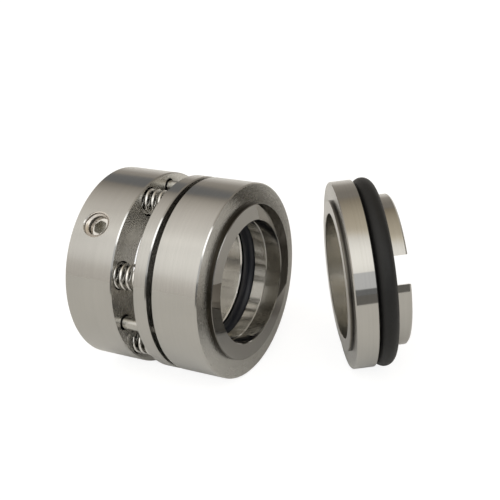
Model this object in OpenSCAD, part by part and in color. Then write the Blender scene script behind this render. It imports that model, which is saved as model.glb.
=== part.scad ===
// A component mechanical seal for a 38 mm shaft: the turning head with its six springs,
// and the fixed seat lying beside it. Millimetres, +X along the shaft toward the seal face.

/* [Head] */

// Diameter of the shaft that the seal is made for
shaft_d = 38; // [36:0.5:39]
// Outside diameter of the collar, the compression ring and the seal ring
head_d = 62.5; // [56:0.5:69]
// Length of the collar along the shaft
collar_l = 17.5; // [17:0.5:22]
// Open gap between the collar and the compression ring, with the springs at full length
spring_gap = 8; // [7:0.5:9]
// Thickness of the compression ring
press_ring_t = 4.7; // [4.5:0.1:6]
// Narrow gap between the compression ring and the seal ring
narrow_gap = 1.9; // [1.6:0.1:2.4]
// Length of the seal ring, without its face
seal_ring_l = 15.8; // [15.5:0.1:18]

/* [Sealing face] */

// Outside diameter of the head's face
face_d = 50; // [47:0.5:52]
// Bore of the head's face
face_bore_d = 39.3; // [39.3:0.1:41]
// Thickness of a face, from its back to its lapped front
face_t = 5.2; // [4.6:0.1:5.6]
// How far a face stands out of its ring
face_out = 1.6; // [1:0.1:2]

/* [Springs] */

// Outside diameter of a spring, as a share of the room between shaft and outside
spring_share = 0.694; // [0.65:0.002:0.7]
// Diameter of the spring wire
wire_d = 1; // [0.8:0.1:1.1]
// Active turns of a spring, between its two closed end turns
active_turns = 7; // [5:1:7]
// Radial play of a spring in its pocket
pocket_play = 0.35; // [0.3:0.05:0.4]
// Depth of a spring pocket in the collar
pocket_depth = 11; // [9:0.5:12]
// Depth of a spring pocket in the compression ring
shallow_pocket = 0.8; // [0.5:0.1:1.2]
// Angle of the first spring, from the near side up
spring_angle = 18; // [12:1:24]

/* [Drive pins] */

// Diameter of a drive pin, as a share of the room between shaft and outside
pin_share = 0.3265; // [0.29:0.0005:0.36]
// Diameter of a pin's front end, as a share of the pin's own
pin_tip_share = 0.75; // [0.65:0.05:0.8]
// Radial play of a pin in the hole that it slides in
pin_play = 0.6; // [0.3:0.05:0.7]
// Angle of the first pin, from the near side up
pin_angle = -16.4; // [-18:0.2:-14]

/* [Set screws] */

// Nominal diameter of a set screw
screw_d = 8; // [6:1:8]
// Distance from a screw's inner end to the shaft, with the screw backed off
screw_back = 1.75; // [1.7:0.05:2.5]
// Width of its hexagon socket across the flats
hex_w = 4; // [3:0.5:4.5]
// Distance of the screws from the collar's rear face
screw_x = 8; // [7.5:0.5:9]
// How far a screw's outer end lies below the collar's surface
screw_sunk = 2.5; // [1.8:0.1:2.6]
// Angle of the first screw, from the near side up
screw_angle = 46.6; // [45:0.2:49]

/* [Shaft seal ring] */

// Section of the O-ring on the shaft, as a share of the room between shaft and outside
shaft_cord_share = 0.408; // [0.39:0.002:0.44]

/* [Seat] */

// Outside diameter of the seat's flange
flange_d = 59.7; // [58:0.2:60]
// Thickness of the seat's flange
flange_t = 7; // [6:0.1:8]
// Outside diameter of the seat's face
seat_face_d = 48.2; // [47:0.1:50]
// How far the seat's face stands out of its flange
seat_face_out = 1.1; // [0.9:0.1:1.4]
// Bore of the seat
seat_bore_d = 40; // [39.5:0.1:42]
// Length of the seat from the flange's front to the tail's end
seat_l = 18; // [17:0.1:20]
// Outside diameter of the tail, which enters the pump's cover
tail_d = 48.2; // [46:0.1:48.8]
// Section of the O-ring on the tail
seat_cord_d = 6; // [5.7:0.1:6.2]
// Width of each slot for the pin that stops the seat turning
slot_w = 8.8; // [6:0.2:13]
// Depth of each slot from the tail's end
slot_l = 6.3; // [5:0.1:7]
// Turn of the slots about the seat's axis
slot_angle = 24.4; // [15:0.1:30]

/* [Where the seat lies] */

// Distance of the seat from the collar's middle, along the shaft
seat_x = 63.3; // [63:0.1:90]
// Distance of the seat behind the shaft's line
seat_y = 16.4; // [0:0.1:30]
// Direction of the seat's face, as a turn about the upright
seat_yaw = -146.1; // [-165:0.1:-135]

/* [Hidden] */

$fn = 96;

shaft_r = shaft_d / 2;
head_r = head_d / 2;
room = head_r - shaft_r;
bore_play = 0.025;
bore_r = shaft_r + bore_play;
edge = 0.35;
bore_edge = 0.5;
fine_edge = 0.2;
neck_edge = 0.35;
past = 1;
hair = 0.1;

collar_x0 = -collar_l / 2;
collar_x1 = collar_l / 2;
press_x0 = collar_x1 + spring_gap;
press_x1 = press_x0 + press_ring_t;
seal_x0 = press_x1 + narrow_gap;
seal_x1 = seal_x0 + seal_ring_l;

press_play = 0.2;
press_bore_r = shaft_r + press_play;
shaft_cord_d = shaft_cord_share * room;
cord_squeeze = 0.3;
cord_in_r = shaft_r - cord_squeeze;
cord_out_r = cord_in_r + shaft_cord_d;
cord_play = 0.05;
gland_r = cord_out_r + cord_play;
spigot_play = 0.15;
spigot_r = gland_r - spigot_play;
spigot_in = 2.6;
spigot_x0 = press_x1 - past;
spigot_x1 = seal_x0 + spigot_in;
gland_gap = shaft_cord_d + cord_play;
gland_depth = spigot_in + gland_gap;
cord_x = seal_x0 + spigot_in + gland_gap / 2;
recess = face_t - face_out;
seat_recess = face_t - seat_face_out;
web_step = 0.05;
web_bore_r = face_bore_d / 2 - web_step;

// Turn of each spring about its own axis, as it happens to sit
spring_turns = [216, 90, 330, 190, 60, 149];
spring_n = len(spring_turns);
spring_d = spring_share * room;
spring_place = 0.55;
wire_r = wire_d / 2;
coil_r = spring_d / 2 - wire_r;
pocket_r = spring_d / 2 + pocket_play;
spring_pitch_r = bore_r + spring_place * (head_r - bore_r);
spring_x0 = collar_x1 - pocket_depth;
spring_x1 = press_x0 + shallow_pocket;
coil_rise = spring_x1 - spring_x0 - wire_d;
turns = active_turns + 2;
turn_steps = 12;
wire_sides = 6;

pin_n = 3;
pin_r = pin_share * room / 2;
pin_hole_r = pin_r + pin_play;
pin_tip_r = pin_tip_share * pin_r;
tip_play = 0.2;
tip_hole_r = pin_tip_r + tip_play;
pin_place = 0.42;
pin_pitch_r = gland_r + pin_place * (head_r - gland_r);
pin_grip = 5;
pin_travel = 7.5;
pin_end_room = 1;
pin_hole_depth = pin_grip + pin_travel + pin_end_room;
tip_in = 4.3;
tip_hole_depth = 5;

screw_n = 3;
screw_r = screw_d / 2;
thread_play = 0.05;
screw_top = head_r - screw_sunk;
screw_l = room - screw_sunk - screw_back;
hex_depth = screw_l / 2;
screw_edge = 0.42;
sink_out = 0.7;
sink_r = screw_r + sink_out;
hex_turn = 44.5;

seat_edge = 0.35;
flange_r = flange_d / 2;
tail_r = tail_d / 2;
seat_bore_r = seat_bore_d / 2;
seat_cord_r = seat_cord_d / 2;
seat_cord_play = 0.02;
seat_cord_gap = 0.25;
seat_cord_x = -flange_t - seat_cord_gap - seat_cord_r;
seat_cord_pitch_r = tail_r + seat_cord_play + seat_cord_r;
seat_tilt = atan((seat_cord_pitch_r + seat_cord_r - flange_r) / -seat_cord_x);
seat_z = -head_r + flange_r * cos(seat_tilt);

// Solid of revolution about X, from points of radius and distance
module turned(points) {
  rotate([0, 90, 0]) rotate_extrude() polygon(points);
}

// Section of a ring with bevelled edges
function ring_section(x0, x1, r0, r1, outer, inner) = [
  [r0 + inner, x0], [r1 - outer, x0], [r1, x0 + outer], [r1, x1 - outer],
  [r1 - outer, x1], [r0 + inner, x1], [r0, x1 - inner], [r0, x0 + inner]
];

// Round bar or hole along X
module bar(x0, x1, r) {
  translate([x0, 0, 0]) rotate([0, 90, 0]) cylinder(h = x1 - x0, r = r);
}

// Places a child at an angle about the shaft, from the near side up
module around(angle, r = 0) {
  rotate([-angle, 0, 0]) translate([0, -r, 0]) children();
}

// Points outward: the child's +Z becomes the direction away from the shaft
module outward(angle) {
  around(angle) rotate([90, 0, 0]) children();
}

module cord(x, pitch_r, r) {
  translate([x, 0, 0]) rotate([0, 90, 0]) rotate_extrude() translate([pitch_r, 0]) circle(r = r);
}

// Height of the wire at a turn: closed end turns and an even pitch between them
function end_rise(t) = min(t, 1) * wire_d + max(0, t - turns + 1) * wire_d;
function active_rise(t) = (coil_rise - 2 * wire_d) * min(max(t - 1, 0), active_turns) / active_turns;
function rise(t) = wire_r + end_rise(t) + active_rise(t);

function coil_point(t, side, phase) = let (
  turn = 360 * t + phase,
  around_wire = 360 * side / wire_sides,
  r = coil_r + wire_r * cos(around_wire)
) [rise(t) + wire_r * sin(around_wire), r * cos(turn), r * sin(turn)];

module coil(phase) {
  rings = turns * turn_steps;
  points = [for (i = [0 : rings]) for (s = [0 : wire_sides - 1]) coil_point(i / turn_steps, s, phase)];
  walls = [for (i = [0 : rings - 1]) for (s = [0 : wire_sides - 1]) let (
    a = i * wire_sides + s,
    b = i * wire_sides + (s + 1) % wire_sides
  ) [a, a + wire_sides, b + wire_sides, b]];
  first = [for (s = [0 : wire_sides - 1]) s];
  last = [for (s = [wire_sides - 1 : -1 : 0]) rings * wire_sides + s];
  polyhedron(points = points, faces = concat([first, last], walls), convexity = 10);
}

module collar() {
  color([0.62, 0.61, 0.58]) difference() {
    turned(ring_section(collar_x0, collar_x1, bore_r, head_r, edge, bore_edge));
    for (i = [0 : spring_n - 1]) around(spring_angle + i * 360 / spring_n, spring_pitch_r)
      bar(spring_x0, collar_x1 + past, pocket_r);
    for (i = [0 : pin_n - 1]) around(pin_angle + i * 360 / pin_n, pin_pitch_r)
      bar(collar_x1 - pin_hole_depth, collar_x1 + past, pin_hole_r);
    for (i = [0 : screw_n - 1]) outward(screw_angle + i * 360 / screw_n)
      translate([collar_x0 + screw_x, 0, 0]) screw_hole();
  }
}

// Threaded hole's room, sunk at the collar's surface
module screw_hole() {
  translate([0, 0, bore_r - past]) cylinder(h = head_r, r = screw_r);
  translate([0, 0, head_r - sink_out])
    cylinder(h = sink_out + past, r1 = screw_r, r2 = sink_r + past);
}

module set_screw(i) {
  color([0.5, 0.49, 0.47]) outward(screw_angle + i * 360 / screw_n)
    translate([collar_x0 + screw_x, 0, screw_top - screw_l]) difference() {
      rotate_extrude() polygon(screw_section());
      translate([0, 0, screw_l - hex_depth]) rotate([0, 0, hex_turn])
        cylinder(h = hex_depth + past, r = hex_w / sqrt(3), $fn = 6);
    }
}

function screw_section() = let (r = screw_r - thread_play) [
  [0, 0], [r - 2 * screw_edge, 0], [r, 2 * screw_edge],
  [r, screw_l - screw_edge], [r - screw_edge, screw_l], [0, screw_l]
];

module spring(i) {
  color([0.7, 0.7, 0.7]) around(spring_angle + i * 360 / spring_n, spring_pitch_r)
    translate([spring_x0, 0, 0]) coil(spring_turns[i]);
}

module drive_pin(i) {
  color([0.75, 0.75, 0.74]) around(pin_angle + i * 360 / pin_n, pin_pitch_r) {
    turned([
      [0, collar_x1 - pin_grip], [pin_r - edge, collar_x1 - pin_grip],
      [pin_r, collar_x1 - pin_grip + edge], [pin_r, press_x1], [pin_tip_r, press_x1],
      [pin_tip_r, seal_x0 + tip_in], [0, seal_x0 + tip_in]
    ]);
  }
}

module compression_ring() {
  color([0.6, 0.59, 0.56]) difference() {
    union() {
      turned(ring_section(press_x0, press_x1, press_bore_r, head_r, edge, fine_edge));
      turned(ring_section(spigot_x0, spigot_x1, press_bore_r, spigot_r, fine_edge, neck_edge));
    }
    for (i = [0 : spring_n - 1]) around(spring_angle + i * 360 / spring_n, spring_pitch_r)
      bar(press_x0 - past, spring_x1, pocket_r);
    for (i = [0 : pin_n - 1]) around(pin_angle + i * 360 / pin_n, pin_pitch_r)
      bar(press_x0 - past, press_x1 + past, pin_r);
  }
}

module shaft_o_ring() {
  color([0.07, 0.08, 0.1]) cord(cord_x, cord_in_r + shaft_cord_d / 2, shaft_cord_d / 2);
}

module seal_ring() {
  color([0.62, 0.61, 0.58]) difference() {
    turned(ring_section(seal_x0, seal_x1, web_bore_r, head_r, edge, 0));
    bar(seal_x0 - past, seal_x0 + gland_depth, gland_r);
    bar(seal_x1 - recess, seal_x1 + past, face_d / 2);
    bevel(seal_x1 - recess, web_bore_r, bore_edge);
    for (i = [0 : pin_n - 1]) around(pin_angle + i * 360 / pin_n, pin_pitch_r)
      bar(seal_x0 - past, seal_x0 + tip_hole_depth, tip_hole_r);
  }
}

// Cuts a bevel at a bore's front edge
module bevel(x, r, size) {
  translate([x - size, 0, 0]) rotate([0, 90, 0])
    cylinder(h = size + hair, r1 = r, r2 = r + size + hair);
}

// A face insert whose lapped front is at x
module face_insert(x, r0, r1) {
  turned([
    [r0, x - face_t], [r1, x - face_t], [r1, x - fine_edge], [r1 - fine_edge, x],
    [r0 + fine_edge, x], [r0, x - fine_edge]
  ]);
}

module seal_face() {
  color([0.35, 0.34, 0.32]) face_insert(seal_x1 + face_out, face_bore_d / 2, face_d / 2);
}

module place_seat() {
  translate([seat_x, seat_y, seat_z]) rotate([0, seat_tilt, seat_yaw]) children();
}

module seat_ring() {
  color([0.62, 0.61, 0.58]) place_seat() difference() {
    union() {
      turned(ring_section(-flange_t, 0, seat_bore_r, flange_r, seat_edge, 0));
      turned(ring_section(-seat_l, -flange_t + past, seat_bore_r, tail_r, bore_edge, 0));
    }
    bar(-seat_recess, past, seat_face_d / 2);
    rotate([slot_angle, 0, 0]) translate([-seat_l - past, -flange_r, -slot_w / 2])
      cube([slot_l + past, flange_d, slot_w]);
  }
}

module seat_face() {
  color([0.35, 0.34, 0.32]) place_seat() face_insert(seat_face_out, seat_bore_r, seat_face_d / 2);
}

module seat_o_ring() {
  color([0.13, 0.13, 0.13]) place_seat() cord(seat_cord_x, seat_cord_pitch_r, seat_cord_r);
}

collar();
set_screw(0);  // set_screw_1
set_screw(1);  // set_screw_2
set_screw(2);  // set_screw_3
spring(0);  // spring_1
spring(1);  // spring_2
spring(2);  // spring_3
spring(3);  // spring_4
spring(4);  // spring_5
spring(5);  // spring_6
drive_pin(0);  // drive_pin_1
drive_pin(1);  // drive_pin_2
drive_pin(2);  // drive_pin_3
compression_ring();
shaft_o_ring();
seal_ring();
seal_face();
seat_ring();
seat_face();
seat_o_ring();
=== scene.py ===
import math

import bpy
from mathutils import Matrix, Vector


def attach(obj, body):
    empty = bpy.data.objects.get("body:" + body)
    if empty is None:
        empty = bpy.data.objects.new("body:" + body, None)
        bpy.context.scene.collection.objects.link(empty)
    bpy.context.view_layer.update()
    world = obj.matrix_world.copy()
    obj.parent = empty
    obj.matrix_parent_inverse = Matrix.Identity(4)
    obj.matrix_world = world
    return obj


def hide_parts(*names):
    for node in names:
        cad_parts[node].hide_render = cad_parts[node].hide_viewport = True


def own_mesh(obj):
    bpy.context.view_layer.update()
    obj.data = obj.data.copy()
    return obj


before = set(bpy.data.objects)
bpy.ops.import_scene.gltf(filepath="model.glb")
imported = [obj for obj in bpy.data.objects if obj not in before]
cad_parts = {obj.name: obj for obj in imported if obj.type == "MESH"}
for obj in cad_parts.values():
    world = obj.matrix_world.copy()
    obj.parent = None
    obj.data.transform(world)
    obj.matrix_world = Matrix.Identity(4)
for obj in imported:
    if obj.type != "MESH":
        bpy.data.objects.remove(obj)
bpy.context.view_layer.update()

MM = 0.001

# Places in the frame, in millimetres and degrees, that the dressing has to meet
SHAFT_AXIS = (1.0, 0.0, 0.0)
TABLE_Z = -31.25
HEAD_R = 31.25

SEAT_PLACE = (63.3, 16.4, -1.4104)
SEAT_YAW = -146.1
SEAT_TILT = 1.509
SEAT_NOSE_OUT = 1.1

SPRINGS = 6
SPRING_FIRST = 18.0
SPRING_STEP = 360.0 / SPRINGS
SPRING_PITCH_R = 25.75
SPRING_START = -2.25
SPRING_LENGTH = 19.8
SPRING_END_TURNS = 2
SPRING_ACTIVE_TURNS = 7
SPRING_OUTER_R = 4.25
WIRE_R = 0.5
# Where each spring's wire starts, turned as the photograph shows it
SPRING_TURN = (216, 90, 330, 190, 60, 149)

PINS = 3
SCREWS = 3
SCREW_FIRST = 46.6
SCREW_STEP = 360.0 / SCREWS
SCREW_X = -0.75
SCREW_TOP = 28.75
SCREW_FEED = 1.7
SCREW_SOCKET_R = 2.2
SCREW_HOLE_R = 4.0
MOUTH_R = 4.7
THREAD_PITCH = 1.25
THREAD_CREST_R = 3.35
# How far a crest stands out of the bevel at the hole's mouth
BEVEL_RIDGE = 0.35
# How far above the sunk screw the thread is painted dark, as painted shade down in the hole
THREAD_SHADE = 0.4
# Slope of the thread's flanks, and how flat its crests are
FLANK_SLOPE = 2.4
CREST_FLAT = 0.12
# The thread's lining: its wall, and how far it stands clear of the collar
LINING_WALL = 0.05
BEVEL_GAP = 0.03
SURFACE_GAP = 0.02

CAMERA_PLACE = (194.87, -261.63, 146.25)
CAMERA_AZIMUTH = 30.497
CAMERA_ELEVATION = 24.002
CAMERA_ROLL = 4.419
CAMERA_LENS = 77.04


# Camera at the photograph's viewing angle

def unit(azimuth, elevation):
    """Direction with azimuth 0 toward the near side and positive azimuth toward +X."""
    a, e = math.radians(azimuth), math.radians(elevation)
    return Vector((math.sin(a) * math.cos(e), -math.cos(a) * math.cos(e), math.sin(e)))


def add_camera():
    """Camera that looks along its own place's azimuth and elevation, rolled as in the photograph."""
    back = unit(CAMERA_AZIMUTH, CAMERA_ELEVATION)
    level = Vector((math.cos(math.radians(CAMERA_AZIMUTH)), math.sin(math.radians(CAMERA_AZIMUTH)), 0))
    upright = back.cross(level)
    roll = math.radians(CAMERA_ROLL)
    right = math.cos(roll) * level - math.sin(roll) * upright
    up = math.cos(roll) * upright + math.sin(roll) * level
    data = bpy.data.cameras.new("camera")
    data.lens = CAMERA_LENS
    data.sensor_width = 36.0
    data.clip_start = 0.01
    camera = bpy.data.objects.new("camera", data)
    turn = Matrix((right, up, back)).transposed().to_4x4()
    camera.matrix_world = Matrix.Translation(Vector(CAMERA_PLACE) * MM) @ turn
    bpy.context.scene.collection.objects.link(camera)
    bpy.context.scene.camera = camera


# Small helpers for node trees

# Stretch that most of a noise's values lie in
NOISE_LOW = 0.3
NOISE_HIGH = 0.7


class Nodes:
    """A node tree with short calls for adding and joining nodes."""

    def __init__(self, tree):
        self.tree = tree
        tree.nodes.clear()

    def add(self, kind, inputs=(), **settings):
        node = self.tree.nodes.new(kind)
        for name, value in settings.items():
            setattr(node, name, value)
        for socket, value in dict(inputs).items():
            self.set(node.inputs[socket], value)
        return node

    def set(self, socket, value):
        """Give a socket a number, a colour or a vector, or join another node's output to it."""
        if isinstance(value, bpy.types.NodeSocket):
            self.tree.links.new(value, socket)
        else:
            socket.default_value = value

    def math(self, operation, a, b=0.0):
        return self.add("ShaderNodeMath", {0: a, 1: b}, operation=operation).outputs[0]

    def vector(self, operation, a, b=(0, 0, 0)):
        node = self.add("ShaderNodeVectorMath", {0: a, 1: b}, operation=operation)
        return node.outputs["Value" if operation in ("DOT_PRODUCT", "LENGTH") else "Vector"]

    def scaled(self, vector, share):
        return self.add("ShaderNodeVectorMath", {0: vector, 3: share}, operation="SCALE").outputs[0]

    def span(self, value, low, high, to_low=0.0, to_high=1.0, smooth=False):
        inputs = {"Value": value, "From Min": low, "From Max": high, "To Min": to_low, "To Max": to_high}
        kind = "SMOOTHSTEP" if smooth else "LINEAR"
        return self.add("ShaderNodeMapRange", inputs, interpolation_type=kind).outputs[0]

    def mix(self, factor, a, b):
        node = self.add("ShaderNodeMix", data_type="RGBA")
        for socket, value in ((node.inputs[0], factor), (node.inputs[6], a), (node.inputs[7], b)):
            self.set(socket, value)
        return node.outputs[2]

    def noise(self, vector, scale, detail=3.0, roughness=0.5, dimensions="3D"):
        inputs = {"Vector": vector, "Scale": scale, "Detail": detail, "Roughness": roughness}
        return self.add("ShaderNodeTexNoise", inputs, noise_dimensions=dimensions).outputs[0]

    def even(self, noise, low=0.0, high=1.0):
        """A noise stretched so that it runs from low to high."""
        return self.span(noise, NOISE_LOW, NOISE_HIGH, low, high)

    def blend(self, a, b, share):
        """A noise made of two, with this share of the first."""
        return self.math("ADD", self.math("MULTIPLY", a, share), self.math("MULTIPLY", b, 1 - share))

    def bump(self, height, depth_mm, strength=1.0):
        inputs = {"Height": height, "Distance": depth_mm * MM, "Strength": strength}
        return self.add("ShaderNodeBump", inputs).outputs[0]

    def here(self):
        return self.add("ShaderNodeTexCoord").outputs["Object"]


def new_material(name, **settings):
    """Material with one principled shader, and the settings that are uniform over it."""
    material = bpy.data.materials.new(name)
    material.use_nodes = True
    nodes = Nodes(material.node_tree)
    shader = nodes.add("ShaderNodeBsdfPrincipled")
    output = nodes.add("ShaderNodeOutputMaterial")
    nodes.tree.links.new(shader.outputs[0], output.inputs[0])
    for socket, value in settings.items():
        shader.inputs[socket.replace("_", " ")].default_value = value
    return material, nodes, shader


def rgb(r, g, b):
    return (r, g, b, 1.0)


def shade(color, share=1.0):
    return rgb(*[share * c for c in color])


class Lathe:
    """Coordinates of a turned piece: along its axis and out from it."""

    def __init__(self, place, tilt, yaw):
        self.place = [v * MM for v in place]
        self.turn = (0.0, math.radians(tilt), math.radians(yaw))
        turn = Matrix.Rotation(self.turn[2], 3, "Z") @ Matrix.Rotation(self.turn[1], 3, "Y")
        self.axis = turn @ Vector((1, 0, 0))

    def coordinates(self, nodes):
        """The piece's own coordinates, and how far a point is along the axis and out from it."""
        inputs = {"Vector": nodes.here(), "Location": self.place, "Rotation": self.turn}
        local = nodes.add("ShaderNodeMapping", inputs, vector_type="TEXTURE").outputs[0]
        parts = nodes.add("ShaderNodeSeparateXYZ", {0: local})
        flat = nodes.add("ShaderNodeCombineXYZ", {1: parts.outputs[1], 2: parts.outputs[2]}).outputs[0]
        return local, parts.outputs[0], nodes.vector("LENGTH", flat)

    def tangent(self, nodes):
        """Direction of the tool marks, which run round the axis."""
        from_axis = nodes.vector("SUBTRACT", nodes.here(), self.place)
        circle = nodes.vector("CROSS_PRODUCT", tuple(self.axis), from_axis)
        inputs = {0: nodes.vector("NORMALIZE", circle)}
        turned = nodes.add("ShaderNodeVectorTransform", inputs, vector_type="VECTOR",
                           convert_from="OBJECT", convert_to="WORLD")
        return turned.outputs[0]

    def facing(self, nodes):
        """1 where the surface faces along the axis, 0 where it faces out from it."""
        normal = nodes.add("ShaderNodeTexCoord").outputs["Normal"]
        return nodes.math("ABSOLUTE", nodes.vector("DOT_PRODUCT", normal, tuple(self.axis)))


HEAD = Lathe((0, 0, 0), 0, 0)
SEAT = Lathe(SEAT_PLACE, SEAT_TILT, SEAT_YAW)
HOLES = [Lathe((SCREW_X, 0, 0), -SCREW_FIRST - i * SCREW_STEP, -90) for i in range(SCREWS)]


# Materials

STEEL = (0.482, 0.473, 0.45)
# Scales of the noises, in cycles a metre
TOOL_MARKS = 2600
STEEL_PATCHES = 55
STEEL_CLOUDS = 260
LAPPED_HAZE = 90
GROUND_GRAIN = 1500
WIRE_PATCHES = 140
WIRE_CLOUDS = 900
RUBBER_GRAIN = 2200
RUBBER_DUST = 420
# Radius that every bore of the turned rings lies within, in millimetres
BORE_TOP_R = 20.4
# How much rougher the faced ends of the turned rings are than their outsides
FACED_EXTRA = 0.12
# Strength of the tool marks on a faced end, against 1 on an outside
FACED_MARKS = 0.25
# Radius between the bore and the outside of a face, in millimetres, and half the stretch
# over which one turns to the other
FACE_MIDDLE_R = 22
FACE_BLEND = 1
LAPPED_DARK = (0.28, 0.272, 0.258)
LAPPED_LIGHT = (0.32, 0.311, 0.296)
GROUND_ROUGH = 0.33
# Lean of the head's mirror, as the seat that it shows lies in the photograph
MIRROR_LEAN = (0.0, -0.0585, -0.007)
# Stretch over which one colour turns to the next on a turned piece or in a hole, in millimetres
COLOR_BLEND = 0.2


def turned_steel(name, lathe, rough, face_painted_light=1.0, bore_tone_and_painted_light=1.0):
    """Steel with the marks of turning; its faced ends and its bore have their own brightness, which is
    painted light and shade.
    """
    material, nodes, shader = new_material(name, Metallic=1.0, Anisotropic=0.85, Anisotropic_Rotation=0.25)
    local, along, out = lathe.coordinates(nodes)
    marks = nodes.add("ShaderNodeCombineXYZ", {0: along, 1: out}).outputs[0]
    fine = nodes.noise(marks, TOOL_MARKS, 4, 0.6, "2D")
    patches = nodes.noise(local, STEEL_PATCHES)
    clouds = nodes.noise(local, STEEL_CLOUDS, 4, 0.6)
    tone = nodes.even(nodes.blend(patches, fine, 0.6))
    steel = nodes.mix(tone, shade(STEEL, 0.94), shade(STEEL, 1.06))
    # Painted light and shade: the faced ends are painted lighter or darker than the outside, as light
    # falls on them
    end = nodes.span(lathe.facing(nodes), 0.8, 0.95)
    # Painted light: the bore, which lies in shade, is painted brighter
    bore = nodes.span(out, BORE_TOP_R * MM, (BORE_TOP_R - COLOR_BLEND) * MM)
    share = nodes.math("MULTIPLY", nodes.span(end, 0, 1, 1, face_painted_light), nodes.span(bore, 0, 1, 1, bore_tone_and_painted_light))
    nodes.set(shader.inputs["Base Color"], nodes.scaled(steel, share))
    gloss = nodes.even(nodes.blend(clouds, fine, 0.5), rough - 0.02, rough + 0.03)
    satin = nodes.math("MULTIPLY", end, FACED_EXTRA)
    nodes.set(shader.inputs["Roughness"], nodes.math("ADD", gloss, satin))
    nodes.set(shader.inputs["Normal"], nodes.bump(fine, 0.003, nodes.span(end, 0, 1, 1, FACED_MARKS)))
    nodes.set(shader.inputs["Tangent"], lathe.tangent(nodes))
    return material


def lapped_face(name, lathe, wall_painted_shade, bore_tone_and_painted_light, bore_rough, lean=(0.0, 0.0, 0.0), foot_shade_fade=(0, 1, 1)):
    """A mirror where it was lapped, ground outside and bored inside; the ground outside is painted dark as
    shade, and the bore's colour is partly painted light.

    lean turns the mirror's normal, and the last argument holds the stretch along the axis, in millimetres,
    over which the painted shade at the foot of the ground outside fades to brighter, and by how much."""
    material, nodes, shader = new_material(name, Metallic=1.0)
    local, along, out = lathe.coordinates(nodes)
    outside = nodes.span(out, (FACE_MIDDLE_R - FACE_BLEND) * MM, (FACE_MIDDLE_R + FACE_BLEND) * MM)
    lapped = nodes.span(lathe.facing(nodes), 0.5, 0.9)
    grain = nodes.noise(local, GROUND_GRAIN, 3, 0.6)
    haze = nodes.noise(local, LAPPED_HAZE)
    # Painted shade: the ground outside wall of the nose is painted near black, as the shade that falls on
    # it
    coarse = nodes.mix(grain, shade(wall_painted_shade, 0.85), shade(wall_painted_shade, 1.15))
    # The bore's colour is partly painted light: on the seat it is raised well above its shade
    bore = nodes.mix(haze, shade(bore_tone_and_painted_light, 0.9), shade(bore_tone_and_painted_light, 1.1))
    # Painted shade at the wall's foot, fading to brighter toward the front
    foot, front, brighter = foot_shade_fade
    wall = nodes.scaled(coarse, nodes.span(along, foot * MM, front * MM, 1, brighter))
    side = nodes.mix(outside, bore, wall)
    face = nodes.mix(haze, rgb(*LAPPED_DARK), rgb(*LAPPED_LIGHT))
    nodes.set(shader.inputs["Base Color"], nodes.mix(lapped, side, face))
    polish = nodes.even(haze, 0.03, 0.06)
    uneven = nodes.even(grain, -0.03, 0.05)
    dull = nodes.math("ADD", uneven, nodes.span(outside, 0, 1, bore_rough, GROUND_ROUGH))
    spread = nodes.add("ShaderNodeMix", {0: lapped, 2: dull, 3: polish}, data_type="FLOAT").outputs[0]
    nodes.set(shader.inputs["Roughness"], spread)
    straight = nodes.add("ShaderNodeNewGeometry").outputs["Normal"]
    nodes.set(shader.inputs["Normal"], nodes.vector("NORMALIZE", nodes.vector("ADD", straight, lean)))
    return material


def bright_wire(name, color=(0.72, 0.71, 0.68), rough=0.14):
    """Drawn or ground steel, for the springs and the pins."""
    material, nodes, shader = new_material(name, Metallic=1.0)
    here = nodes.here()
    clouds = nodes.noise(here, WIRE_CLOUDS, 4, 0.6)
    patches = nodes.noise(here, WIRE_PATCHES, 2, 0.5)
    nodes.set(shader.inputs["Base Color"], nodes.mix(nodes.even(patches), shade(color, 0.9), shade(color)))
    nodes.set(shader.inputs["Roughness"], nodes.even(clouds, rough - 0.04, rough + 0.08))
    nodes.set(shader.inputs["Normal"], nodes.bump(clouds, 0.003))
    return material


def sunk_steel(name, hole, way, limit, painted_shade_color, color, rough):
    """Steel in a screw's hole, with painted shade inside a limit: "along" the hole or "out" from its axis.
    """
    material, nodes, shader = new_material(name, Metallic=1.0)
    local, along, out = hole.coordinates(nodes)
    reach = {"along": along, "out": out}[way]
    # Painted shade: deep in the hole, and inside the screw's socket, the steel is painted dark
    unshaded = nodes.span(reach, limit * MM, (limit + COLOR_BLEND) * MM)
    clouds = nodes.noise(local, WIRE_CLOUDS, 4, 0.6)
    pale = nodes.mix(clouds, shade(color, 0.9), shade(color, 1.1))
    nodes.set(shader.inputs["Base Color"], nodes.mix(unshaded, rgb(*painted_shade_color), pale))
    nodes.set(shader.inputs["Roughness"], nodes.even(clouds, rough - 0.04, rough + 0.08))
    nodes.set(shader.inputs["Normal"], nodes.bump(clouds, 0.002))
    return material


def elastomer(name, color, rough, sheen):
    """Moulded rubber with a fine grain and a little dust."""
    material, nodes, shader = new_material(name, Specular_IOR_Level=sheen)
    here = nodes.here()
    grain = nodes.noise(here, RUBBER_GRAIN, 3, 0.6)
    dust = nodes.noise(here, RUBBER_DUST, 5, 0.7)
    dusty = nodes.span(dust, 0.45, 0.8)
    nodes.set(shader.inputs["Base Color"], nodes.mix(dusty, shade(color), shade(color, 1.35)))
    nodes.set(shader.inputs["Roughness"], nodes.even(grain, rough - 0.06, rough + 0.08))
    nodes.set(shader.inputs["Normal"], nodes.bump(grain, 0.006))
    return material


# Pieces that stand for a CAD node or add a form too fine for it

def around(angle):
    """Turn about the shaft that takes the near side up by this angle."""
    return Matrix.Rotation(-math.radians(angle), 4, "X")


def new_piece(name, points, faces, material, rounded):
    """Object from points and faces, with a flag for each face that says if it is shaded round."""
    mesh = bpy.data.meshes.new(name)
    mesh.from_pydata(points, [], faces)
    mesh.polygons.foreach_set("use_smooth", rounded)
    mesh.materials.append(material)
    mesh.update()
    piece = bpy.data.objects.new(name, mesh)
    bpy.context.scene.collection.objects.link(piece)
    return piece


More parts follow.
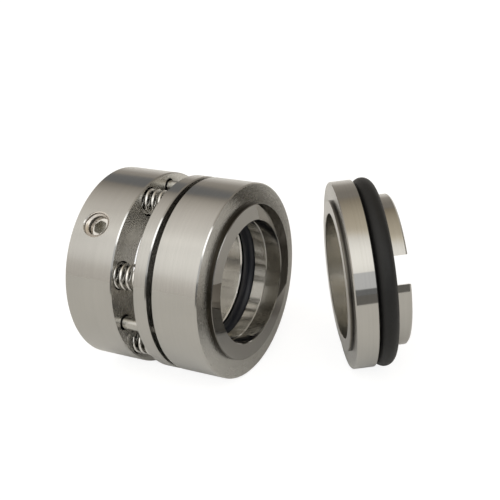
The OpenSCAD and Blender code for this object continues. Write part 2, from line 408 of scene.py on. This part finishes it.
def new_tube(name, rings, material):
    """Closed tube from rings of points, with flat ends."""
    sides = len(rings[0])
    points = [p for ring in rings for p in ring]
    faces = []
    for i in range(len(rings) - 1):
        for s in range(sides):
            a, b = i * sides + s, i * sides + (s + 1) % sides
            faces.append((a, b, b + sides, a + sides))
    ends = [tuple(reversed(range(sides))), tuple(len(points) - sides + s for s in range(sides))]
    rounded = [True] * len(faces) + [False] * len(ends)
    return new_piece(name, points, faces + ends, material, rounded)


def coil_rise(turn):
    """Height of the wire after a number of turns: closed ends and an even pitch between them."""
    wire = 2 * WIRE_R
    pitch = (SPRING_LENGTH - wire - SPRING_END_TURNS * wire) / SPRING_ACTIVE_TURNS
    last = SPRING_ACTIVE_TURNS + 1
    ends = min(turn, 1) * wire + max(0.0, turn - last) * wire
    return WIRE_R + ends + pitch * min(max(turn - 1, 0), SPRING_ACTIVE_TURNS)


def add_spring(index, material):
    """Coil spring with closed ends, carried by the collar in place of the CAD spring."""
    steps, sides = 32, 12
    coil_r = SPRING_OUTER_R - WIRE_R
    turns = SPRING_ACTIVE_TURNS + SPRING_END_TURNS
    place = around(SPRING_FIRST + index * SPRING_STEP) @ Matrix.Translation((0, -SPRING_PITCH_R, 0))
    rings = []
    for i in range(turns * steps + 1):
        t = i / steps
        angle = math.radians(360 * t + SPRING_TURN[index])
        out = Vector((0, math.cos(angle), math.sin(angle)))
        middle = Vector((SPRING_START + coil_rise(t), 0, 0)) + coil_r * out
        ring = []
        for s in range(sides):
            a = 2 * math.pi * s / sides
            p = middle + WIRE_R * (math.cos(a) * out + math.sin(a) * Vector(SHAFT_AXIS))
            ring.append((place @ p) * MM)
        rings.append(ring)
    name = f"spring_{index + 1}"
    piece = new_tube(name + "_wire", rings, material)
    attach(piece, "collar_and_springs")
    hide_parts(name)
    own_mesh(piece)


def thread_wall(height, turn):
    """Inner radius of the threaded hole: crests a pitch apart, cut low by the bevel at the mouth."""
    along = (height / THREAD_PITCH - turn) % 1
    tooth = min(1.0, max(0.0, FLANK_SLOPE * abs(along - 0.5) - CREST_FLAT))
    wall = THREAD_CREST_R + (SCREW_HOLE_R - THREAD_CREST_R) * tooth
    bevel = MOUTH_R - (HEAD_R - height)
    return max(wall, bevel - BEVEL_RIDGE * (1 - tooth) - BEVEL_GAP)


def add_thread(index, material):
    """The thread in a set screw's hole, down to the deepest that the screw goes."""
    columns, rows = 72, 80
    low, high = SCREW_TOP - SCREW_FEED, HEAD_R
    outward = around(SCREW_FIRST + index * SCREW_STEP) @ Matrix.Rotation(math.radians(90), 4, "X")
    place = outward @ Matrix.Translation((SCREW_X, 0, 0))
    points = []
    for row in range(rows + 1):
        height = low + (high - low) * row / rows
        for column in range(columns):
            turn = column / columns
            a = 2 * math.pi * turn
            r = thread_wall(height, turn)
            top = math.sqrt(HEAD_R ** 2 - (r * math.sin(a)) ** 2) - SURFACE_GAP
            points.append((place @ Vector((r * math.cos(a), r * math.sin(a), min(height, top)))) * MM)
    faces = []
    for row in range(rows):
        for column in range(columns):
            a = row * columns + column
            b = row * columns + (column + 1) % columns
            faces.append((a, a + columns, b + columns, b))
    piece = new_piece(f"screw_thread_{index + 1}", points, faces, material, [True] * len(faces))
    wall = piece.modifiers.new("wall", "SOLIDIFY")
    wall.thickness = LINING_WALL * MM
    wall.offset = -1
    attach(piece, "collar_and_springs")


# Table

# Half the table's length, in metres
TABLE_HALF = 3.0
# The table as the camera sees it: white of its own, and the paper that takes the shadow
TABLE_GLOW = 0.86
TABLE_SEEN = 0.28
# The paper as the metal mirrors it
TABLE_MIRRORED = 0.86
PAPER = (1, 1, 0.99)
# The table's front edge, which the metal mirrors as a dark strip outside the picture, in millimetres
EDGE_Y = -126
EDGE_BLEND = 4
EDGE_X = (-20, 60)
EDGE_DARK = 0.27


def table_material():
    """White paper that glows for the camera alone, with a darker strip beyond its front edge."""
    material = bpy.data.materials.new("table")
    material.use_nodes = True
    nodes = Nodes(material.node_tree)
    parts = nodes.add("ShaderNodeSeparateXYZ", {0: nodes.here()})
    seen = nodes.add("ShaderNodeLightPath").outputs["Is Camera Ray"]
    beyond = nodes.span(parts.outputs[1], (EDGE_Y + EDGE_BLEND) * MM, (EDGE_Y - EDGE_BLEND) * MM)
    right = nodes.span(parts.outputs[0], EDGE_X[0] * MM, EDGE_X[1] * MM)
    dark = nodes.math("MULTIPLY", nodes.math("MULTIPLY", beyond, right), nodes.math("SUBTRACT", 1.0, seen))
    share = nodes.span(seen, 0, 1, TABLE_MIRRORED, TABLE_SEEN)
    left = nodes.span(dark, 0, 1, 1.0, EDGE_DARK)
    white = nodes.mix(nodes.math("MULTIPLY", share, left), rgb(0, 0, 0), rgb(*PAPER))
    paper = nodes.add("ShaderNodeBsdfDiffuse", {"Color": white})
    glow = nodes.add("ShaderNodeEmission", {"Strength": nodes.math("MULTIPLY", seen, TABLE_GLOW)})
    both = nodes.add("ShaderNodeAddShader", {0: paper.outputs[0], 1: glow.outputs[0]})
    nodes.add("ShaderNodeOutputMaterial", {0: both.outputs[0]})
    return material


def add_table():
    corners = ((-1, -1), (1, -1), (1, 1), (-1, 1))
    points = [(TABLE_HALF * x, TABLE_HALF * y, TABLE_Z * MM) for x, y in corners]
    new_piece("table", points, [(0, 1, 2, 3)], table_material(), [False])


# Light

# Direction of the brightest part, as azimuth and elevation
BRIGHTEST = (5, 40)
# Brightness of the studio against how far a direction leans toward the brightest part
STUDIO_FADE = (
    (-1.0, 0.94), (-0.65, 0.67), (-0.5, 0.41), (-0.35, 0.36), (-0.2, 0.31), (0.0, 0.32), (0.2, 0.49),
    (0.4, 0.65), (0.55, 0.75), (0.7, 0.85), (0.8, 1.19), (0.9, 1.55), (1.0, 1.6),
)
# Tints of the studio's dark and light parts, and of the light that a patch adds
DARK_TINT = (1.1, 0.975, 0.83)
LIGHT_TINT = (1.02, 1.0, 0.955)
PATCH_TINT = (0.99, 1.0, 1.01)
# Patches of the studio: middle azimuth, half width, middle elevation, half height and softness in degrees,
# then the share of each colour that stays, and the brightness that is added
PATCHES = (
    (-90, 38, 56, 9, 12, (1.24, 1.24, 1.24), 0),
    (130, 70, 75, 20, 10, (0.88, 0.82, 0.7), 0),
    (-32, 30, 4, 8, 8, (0.93, 0.92, 0.91), 0),
    (-139.5, 4.5, 32, 9, 3, (0, 0, 0), 0.23),
    (78, 15, 30, 12, 4, (0, 0, 0), 2.6),
    (48, 27, 16, 9.5, 1, (0, 0, 0), 0.82),
    (48, 27, 1.5, 4.5, 1, (0, 0, 0), 0.24),
)


def tinted(brightness):
    """Grey of this brightness, tinted as the dark or the light parts of the studio are."""
    share = min(1.0, brightness)
    return rgb(*[brightness * (d + (l - d) * share) for d, l in zip(DARK_TINT, LIGHT_TINT)])


def studio_fade(nodes, toward):
    """Light of the studio without its patches."""
    lean = nodes.vector("DOT_PRODUCT", toward, tuple(unit(*BRIGHTEST)))
    ramp = nodes.add("ShaderNodeValToRGB", {0: nodes.span(lean, -1, 1)})
    stops = ramp.color_ramp.elements
    while len(stops) < len(STUDIO_FADE):
        stops.new(0.5)
    for stop, (place, brightness) in zip(stops, STUDIO_FADE):
        stop.position = (place + 1) / 2
    for stop, (place, brightness) in zip(stops, STUDIO_FADE):
        stop.color = tinted(brightness)
    return ramp.outputs[0]


def add_studio():
    """Soft light from all round for the pieces, and plain white for the camera."""
    world = bpy.data.worlds.new("studio")
    world.use_nodes = True
    bpy.context.scene.world = world
    nodes = Nodes(world.node_tree)
    toward = nodes.add("ShaderNodeTexCoord").outputs["Generated"]
    light = studio_fade(nodes, toward)
    parts = nodes.add("ShaderNodeSeparateXYZ", {0: toward})
    near = nodes.math("MULTIPLY", parts.outputs[1], -1.0)
    azimuth = nodes.math("DEGREES", nodes.math("ARCTAN2", parts.outputs[0], near))
    elevation = nodes.math("DEGREES", nodes.math("ARCSINE", parts.outputs[2]))
    for middle, half_width, height, half_height, soft, stays, added in PATCHES:
        limits = {0: azimuth, 1: middle + 180.0, 2: middle - 180.0}
        turn = nodes.add("ShaderNodeMath", limits, operation="WRAP").outputs[0]
        aside = nodes.math("ABSOLUTE", nodes.math("SUBTRACT", turn, middle))
        above = nodes.math("ABSOLUTE", nodes.math("SUBTRACT", elevation, height))
        across = nodes.span(aside, half_width + soft, half_width, smooth=True)
        upright = nodes.span(above, half_height + soft, half_height, smooth=True)
        kept = nodes.vector("MULTIPLY", light, stays)
        patch = nodes.vector("ADD", kept, tuple(added * t for t in PATCH_TINT))
        light = nodes.mix(nodes.math("MULTIPLY", across, upright), light, patch)
    room = nodes.add("ShaderNodeBackground", {0: light})
    white = nodes.add("ShaderNodeBackground", {0: rgb(1, 1, 1)})
    seen = nodes.add("ShaderNodeLightPath").outputs["Is Camera Ray"]
    both = nodes.add("ShaderNodeMixShader", {0: seen, 1: room.outputs[0], 2: white.outputs[0]})
    nodes.add("ShaderNodeOutputWorld", {0: both.outputs[0]})


# The seal

def dress(names, material):
    """Give CAD nodes a material."""
    for name in names:
        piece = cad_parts[name]
        piece.data.materials.clear()
        piece.data.materials.append(material)


def numbered(name, count):
    return [f"{name}_{i + 1}" for i in range(count)]


def dress_rings():
    dress(["seal_ring"], turned_steel("head_steel", HEAD, rough=0.14))
    # Painted light: the collar's faced end, in shade between the parts, is painted lighter; the seat's
    # faced ends are painted darker as shade
    dress(["collar"], turned_steel("collar_steel", HEAD, rough=0.14, face_painted_light=1.4))
    # Painted light: the bores of the compression ring and the seat are painted lighter than their shade
    dress(["compression_ring"], turned_steel("press_steel", HEAD, rough=0.14, bore_tone_and_painted_light=1.55))
    dress(["seat_ring"], turned_steel("seat_steel", SEAT, rough=0.08, face_painted_light=0.68, bore_tone_and_painted_light=1.7))


def dress_faces():
    # Painted shade: both ground outside walls are painted near black, and the seat's is darkest at its
    # foot
    head = lapped_face("head_face", HEAD, wall_painted_shade=(0.05, 0.045, 0.036), bore_tone_and_painted_light=(0.23, 0.222, 0.203),
                       bore_rough=0.13, lean=MIRROR_LEAN)
    # Painted light: the seat's bore is painted much lighter than the head's
    seat = lapped_face("seat_face", SEAT, wall_painted_shade=(0.045, 0.042, 0.037), bore_tone_and_painted_light=(0.48, 0.465, 0.43),
                       bore_rough=0.2, foot_shade_fade=(0.2, SEAT_NOSE_OUT, 6))
    dress(["seal_face"], head)
    dress(["seat_face"], seat)


def dress_o_rings():
    dress(["shaft_o_ring"], elastomer("shaft_rubber", (0.004, 0.0062, 0.0125), rough=0.36, sheen=0.45))
    dress(["seat_o_ring"], elastomer("seat_rubber", (0.0085, 0.0085, 0.0085), rough=0.5, sheen=0.3))


def dress_screws():
    for name, hole in zip(numbered("set_screw", SCREWS), HOLES):
        # Painted shade: the screw's socket is painted darker than its top
        steel = sunk_steel(f"{name}_steel", hole, "out", SCREW_SOCKET_R, painted_shade_color=(0.47, 0.46, 0.43),
                           color=(0.72, 0.7, 0.67), rough=0.16)
        dress([name], steel)


def add_threads():
    for i, hole in enumerate(HOLES):
        # Painted shade: the thread is painted dark near the sunk screw, down in the hole
        steel = sunk_steel(f"thread_steel_{i + 1}", hole, "along", SCREW_TOP + THREAD_SHADE,
                           painted_shade_color=(0.04, 0.036, 0.03), color=(0.64, 0.6, 0.555), rough=0.26)
        add_thread(i, steel)


def main():
    bpy.context.scene.view_settings.view_transform = "Standard"
    add_camera()
    add_studio()
    add_table()
    dress_rings()
    dress_faces()
    dress_o_rings()
    wire = bright_wire("spring_wire")
    dress(numbered("spring", SPRINGS), wire)
    dress(numbered("drive_pin", PINS), bright_wire("pin_steel", (0.5, 0.49, 0.46), rough=0.2))
    dress_screws()
    for i in range(SPRINGS):
        add_spring(i, wire)
    add_threads()


main()
